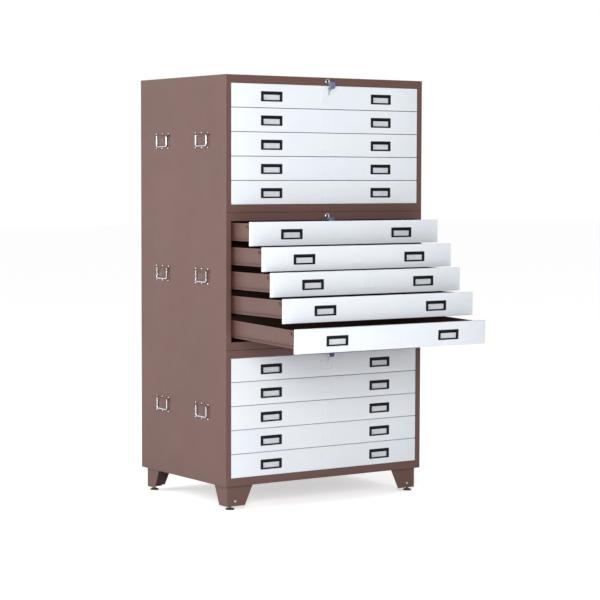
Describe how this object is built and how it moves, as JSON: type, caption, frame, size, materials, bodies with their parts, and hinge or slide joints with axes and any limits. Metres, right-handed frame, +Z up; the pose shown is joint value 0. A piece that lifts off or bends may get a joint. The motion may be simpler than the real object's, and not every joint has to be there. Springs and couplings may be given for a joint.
{
  "type": "flat file cabinet",
  "caption": "Stacked sheet-steel flat file cabinet with shallow sliding plan drawers, recessed pulls, key locks with lock bars, swinging side handles and bracket feet with screw levellers.",
  "frame": {"origin": "on the floor, under the centre of the cases' footprint", "axes": "+Z up, drawer fronts face -Y, +X to the right seen from the front"},
  "size_m": [1.019, 1.1632, 1.78],
  "materials": {
    "brown_paint": "satin powder coat",
    "white_paint": "satin powder coat",
    "zinc_steel": "zinc plate",
    "chrome": "bright plate",
    "black_plastic": "fine grain",
    "grey_insert": "satin",
    "key_plastic": "satin"
  },
  "bodies": {
    "cabinet": {"lower_case": "brown_paint", "middle_case": "brown_paint", "upper_case": "brown_paint", "drawer_runners": "zinc_steel", "lock_barrels": "chrome", "handle_plates": "brown_paint", "foot_brackets": "brown_paint"},
    "lower_drawer_1": {"lower_drawer_1_front": "white_paint", "lower_drawer_1_tray": "brown_paint"},
    "lower_drawer_2": {"lower_drawer_2_front": "white_paint", "lower_drawer_2_tray": "brown_paint"},
    "lower_drawer_3": {"lower_drawer_3_front": "white_paint", "lower_drawer_3_tray": "brown_paint"},
    "lower_drawer_4": {"lower_drawer_4_front": "white_paint", "lower_drawer_4_tray": "brown_paint"},
    "lower_drawer_5": {"lower_drawer_5_front": "white_paint", "lower_drawer_5_tray": "brown_paint"},
    "middle_drawer_1": {"middle_drawer_1_front": "white_paint", "middle_drawer_1_tray": "brown_paint"},
    "middle_drawer_2": {"middle_drawer_2_front": "white_paint", "middle_drawer_2_tray": "brown_paint"},
    "middle_drawer_3": {"middle_drawer_3_front": "white_paint", "middle_drawer_3_tray": "brown_paint"},
    "middle_drawer_4": {"middle_drawer_4_front": "white_paint", "middle_drawer_4_tray": "brown_paint"},
    "middle_drawer_5": {"middle_drawer_5_front": "white_paint", "middle_drawer_5_tray": "brown_paint"},
    "middle_drawer_5_rollers": {"middle_drawer_5_rollers": "zinc_steel"},
    "upper_drawer_1": {"upper_drawer_1_front": "white_paint", "upper_drawer_1_tray": "brown_paint"},
    "upper_drawer_2": {"upper_drawer_2_front": "white_paint", "upper_drawer_2_tray": "brown_paint"},
    "upper_drawer_3": {"upper_drawer_3_front": "white_paint", "upper_drawer_3_tray": "brown_paint"},
    "upper_drawer_4": {"upper_drawer_4_front": "white_paint", "upper_drawer_4_tray": "brown_paint"},
    "upper_drawer_5": {"upper_drawer_5_front": "white_paint", "upper_drawer_5_tray": "brown_paint"},
    "lower_lock_plug": {"lower_lock_plug": "chrome"},
    "lower_lock_bar": {"lower_lock_bar": "zinc_steel"},
    "middle_lock_plug": {"middle_lock_plug": "chrome"},
    "middle_lock_bar": {"middle_lock_bar": "zinc_steel"},
    "upper_lock_plug": {"upper_lock_plug": "chrome"},
    "upper_lock_bar": {"upper_lock_bar": "zinc_steel"},
    "lower_left_front_bail": {"lower_left_front_bail": "chrome"},
    "lower_left_rear_bail": {"lower_left_rear_bail": "chrome"},
    "lower_right_front_bail": {"lower_right_front_bail": "chrome"},
    "lower_right_rear_bail": {"lower_right_rear_bail": "chrome"},
    "middle_left_front_bail": {"middle_left_front_bail": "chrome"},
    "middle_left_rear_bail": {"middle_left_rear_bail": "chrome"},
    "middle_right_front_bail": {"middle_right_front_bail": "chrome"},
    "middle_right_rear_bail": {"middle_right_rear_bail": "chrome"},
    "upper_left_front_bail": {"upper_left_front_bail": "chrome"},
    "upper_left_rear_bail": {"upper_left_rear_bail": "chrome"},
    "upper_right_front_bail": {"upper_right_front_bail": "chrome"},
    "upper_right_rear_bail": {"upper_right_rear_bail": "chrome"},
    "left_front_leveller": {"left_front_leveller": "black_plastic"},
    "left_rear_leveller": {"left_rear_leveller": "black_plastic"},
    "right_front_leveller": {"right_front_leveller": "black_plastic"},
    "right_rear_leveller": {"right_rear_leveller": "black_plastic"}
  },
  "joints": [
    {"name": "lower_drawer_1_slide", "type": "slide", "parent": "cabinet", "child": "lower_drawer_1", "axis": [0, -1, 0], "range_m": [0, 0.47]},
    {"name": "lower_drawer_2_slide", "type": "slide", "parent": "cabinet", "child": "lower_drawer_2", "axis": [0, -1, 0], "range_m": [0, 0.47]},
    {"name": "lower_drawer_3_slide", "type": "slide", "parent": "cabinet", "child": "lower_drawer_3", "axis": [0, -1, 0], "range_m": [0, 0.47]},
    {"name": "lower_drawer_4_slide", "type": "slide", "parent": "cabinet", "child": "lower_drawer_4", "axis": [0, -1, 0], "range_m": [0, 0.47]},
    {"name": "lower_drawer_5_slide", "type": "slide", "parent": "cabinet", "child": "lower_drawer_5", "axis": [0, -1, 0], "range_m": [0, 0.47]},
    {"name": "middle_drawer_1_slide", "type": "slide", "parent": "cabinet", "child": "middle_drawer_1", "axis": [0, -1, 0], "range_m": [-0.149, 0.321]},
    {"name": "middle_drawer_2_slide", "type": "slide", "parent": "cabinet", "child": "middle_drawer_2", "axis": [0, -1, 0], "range_m": [-0.24, 0.23]},
    {"name": "middle_drawer_3_slide", "type": "slide", "parent": "cabinet", "child": "middle_drawer_3", "axis": [0, -1, 0], "range_m": [-0.301, 0.169]},
    {"name": "middle_drawer_4_slide", "type": "slide", "parent": "cabinet", "child": "middle_drawer_4", "axis": [0, -1, 0], "range_m": [-0.388, 0.082]},
    {"name": "middle_drawer_5_nod", "type": "hinge", "parent": "cabinet", "child": "middle_drawer_5_rollers", "pos_m": [0, -0.3185, 0.7132], "axis": [1, 0, 0], "range_deg": [-1.75, 0]},
    {"name": "middle_drawer_5_slide", "type": "slide", "parent": "middle_drawer_5_rollers", "child": "middle_drawer_5", "axis": [0, -0.9995, -0.0305], "range_m": [-0.47, 0]},
    {"name": "upper_drawer_1_slide", "type": "slide", "parent": "cabinet", "child": "upper_drawer_1", "axis": [0, -1, 0], "range_m": [0, 0.47]},
    {"name": "upper_drawer_2_slide", "type": "slide", "parent": "cabinet", "child": "upper_drawer_2", "axis": [0, -1, 0], "range_m": [0, 0.47]},
    {"name": "upper_drawer_3_slide", "type": "slide", "parent": "cabinet", "child": "upper_drawer_3", "axis": [0, -1, 0], "range_m": [0, 0.47]},
    {"name": "upper_drawer_4_slide", "type": "slide", "parent": "cabinet", "child": "upper_drawer_4", "axis": [0, -1, 0], "range_m": [0, 0.47]},
    {"name": "upper_drawer_5_slide", "type": "slide", "parent": "cabinet", "child": "upper_drawer_5", "axis": [0, -1, 0], "range_m": [0, 0.47]},
    {"name": "lower_lock_turn", "type": "hinge", "parent": "cabinet", "child": "lower_lock_plug", "pos_m": [0, -0.345, 0.6435], "axis": [0, -1, 0], "range_deg": [0, 90]},
    {"name": "lower_lock_bar_lift", "type": "slide", "parent": "cabinet", "child": "lower_lock_bar", "axis": [0, 0, 1], "range_m": [0, 0.016]},
    {"name": "middle_lock_turn", "type": "hinge", "parent": "cabinet", "child": "middle_lock_plug", "pos_m": [0, -0.345, 1.2035], "axis": [0, -1, 0], "range_deg": [0, 90]},
    {"name": "middle_lock_bar_lift", "type": "slide", "parent": "cabinet", "child": "middle_lock_bar", "axis": [0, 0, 1], "range_m": [0, 0.016]},
    {"name": "upper_lock_turn", "type": "hinge", "parent": "cabinet", "child": "upper_lock_plug", "pos_m": [0, -0.345, 1.7635], "axis": [0, -1, 0], "range_deg": [0, 90]},
    {"name": "upper_lock_bar_lift", "type": "slide", "parent": "cabinet", "child": "upper_lock_bar", "axis": [0, 0, 1], "range_m": [0, 0.016]},
    {"name": "lower_left_front_bail_swing", "type": "hinge", "parent": "cabinet", "child": "lower_left_front_bail", "pos_m": [-0.5055, -0.16, 0.417], "axis": [0, 1, 0], "range_deg": [0, 90]},
    {"name": "lower_left_rear_bail_swing", "type": "hinge", "parent": "cabinet", "child": "lower_left_rear_bail", "pos_m": [-0.5055, 0.16, 0.417], "axis": [0, 1, 0], "range_deg": [0, 90]},
    {"name": "lower_right_front_bail_swing", "type": "hinge", "parent": "cabinet", "child": "lower_right_front_bail", "pos_m": [0.5055, -0.16, 0.417], "axis": [0, -1, 0], "range_deg": [0, 90]},
    {"name": "lower_right_rear_bail_swing", "type": "hinge", "parent": "cabinet", "child": "lower_right_rear_bail", "pos_m": [0.5055, 0.16, 0.417], "axis": [0, -1, 0], "range_deg": [0, 90]},
    {"name": "middle_left_front_bail_swing", "type": "hinge", "parent": "cabinet", "child": "middle_left_front_bail", "pos_m": [-0.5055, -0.16, 0.977], "axis": [0, 1, 0], "range_deg": [0, 90]},
    {"name": "middle_left_rear_bail_swing", "type": "hinge", "parent": "cabinet", "child": "middle_left_rear_bail", "pos_m": [-0.5055, 0.16, 0.977], "axis": [0, 1, 0], "range_deg": [0, 90]},
    {"name": "middle_right_front_bail_swing", "type": "hinge", "parent": "cabinet", "child": "middle_right_front_bail", "pos_m": [0.5055, -0.16, 0.977], "axis": [0, -1, 0], "range_deg": [0, 90]},
    {"name": "middle_right_rear_bail_swing", "type": "hinge", "parent": "cabinet", "child": "middle_right_rear_bail", "pos_m": [0.5055, 0.16, 0.977], "axis": [0, -1, 0], "range_deg": [0, 90]},
    {"name": "upper_left_front_bail_swing", "type": "hinge", "parent": "cabinet", "child": "upper_left_front_bail", "pos_m": [-0.5055, -0.16, 1.537], "axis": [0, 1, 0], "range_deg": [0, 90]},
    {"name": "upper_left_rear_bail_swing", "type": "hinge", "parent": "cabinet", "child": "upper_left_rear_bail", "pos_m": [-0.5055, 0.16, 1.537], "axis": [0, 1, 0], "range_deg": [0, 90]},
    {"name": "upper_right_front_bail_swing", "type": "hinge", "parent": "cabinet", "child": "upper_right_front_bail", "pos_m": [0.5055, -0.16, 1.537], "axis": [0, -1, 0], "range_deg": [0, 90]},
    {"name": "upper_right_rear_bail_swing", "type": "hinge", "parent": "cabinet", "child": "upper_right_rear_bail", "pos_m": [0.5055, 0.16, 1.537], "axis": [0, -1, 0], "range_deg": [0, 90]},
    {"name": "left_front_leveller_turn", "type": "hinge", "parent": "cabinet", "child": "left_front_leveller", "pos_m": [-0.458, -0.309, 0], "axis": [0, 0, 1], "continuous": true},
    {"name": "left_rear_leveller_turn", "type": "hinge", "parent": "cabinet", "child": "left_rear_leveller", "pos_m": [-0.458, 0.309, 0], "axis": [0, 0, 1], "continuous": true},
    {"name": "right_front_leveller_turn", "type": "hinge", "parent": "cabinet", "child": "right_front_leveller", "pos_m": [0.458, -0.309, 0], "axis": [0, 0, 1], "continuous": true},
    {"name": "right_rear_leveller_turn", "type": "hinge", "parent": "cabinet", "child": "right_rear_leveller", "pos_m": [0.458, 0.309, 0], "axis": [0, 0, 1], "continuous": true}
  ],
  "couplings": [
    {"joint": "middle_drawer_5_nod", "follows": "middle_drawer_5_slide", "rad_per_m": 0.064981},
    {"joint": "lower_lock_turn", "follows": "lower_lock_bar_lift", "rad_per_m": 98.17},
    {"joint": "middle_lock_turn", "follows": "middle_lock_bar_lift", "rad_per_m": 98.17},
    {"joint": "upper_lock_turn", "follows": "upper_lock_bar_lift", "rad_per_m": 98.17}
  ]
}
